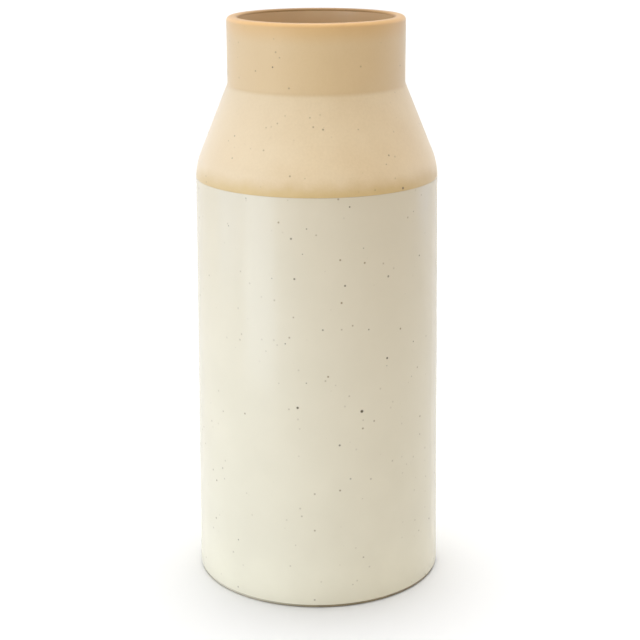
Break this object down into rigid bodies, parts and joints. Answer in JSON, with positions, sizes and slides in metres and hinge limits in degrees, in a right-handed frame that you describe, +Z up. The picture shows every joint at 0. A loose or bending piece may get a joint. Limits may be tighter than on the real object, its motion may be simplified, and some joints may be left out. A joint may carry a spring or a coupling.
{
  "type": "bottle vase",
  "caption": "Tall stoneware bottle vase with a glazed cylinder body, bare conical shoulder and straight open neck, for holding cut stems in water.",
  "frame": {"origin": "on the floor, under the middle of the foot ring", "axes": "+Z up along the axis that the vase is turned about, from the foot to the mouth; the vase looks the same from every side"},
  "size_m": [0.1318, 0.1318, 0.3],
  "materials": {
    "bare_clay": "matte unglazed sandy stoneware with fine dark specks",
    "cream_glaze": "glossy cream glaze with scattered iron specks",
    "liner_glaze": "glossy clear glaze over sandy clay"
  },
  "bodies": {
    "root": {"base_slab": "bare_clay", "body_wall": "bare_clay", "shoulder_cone": "bare_clay", "neck_collar": "bare_clay", "body_glaze": "cream_glaze", "liner_glaze": "liner_glaze"}
  },
  "joints": []
}
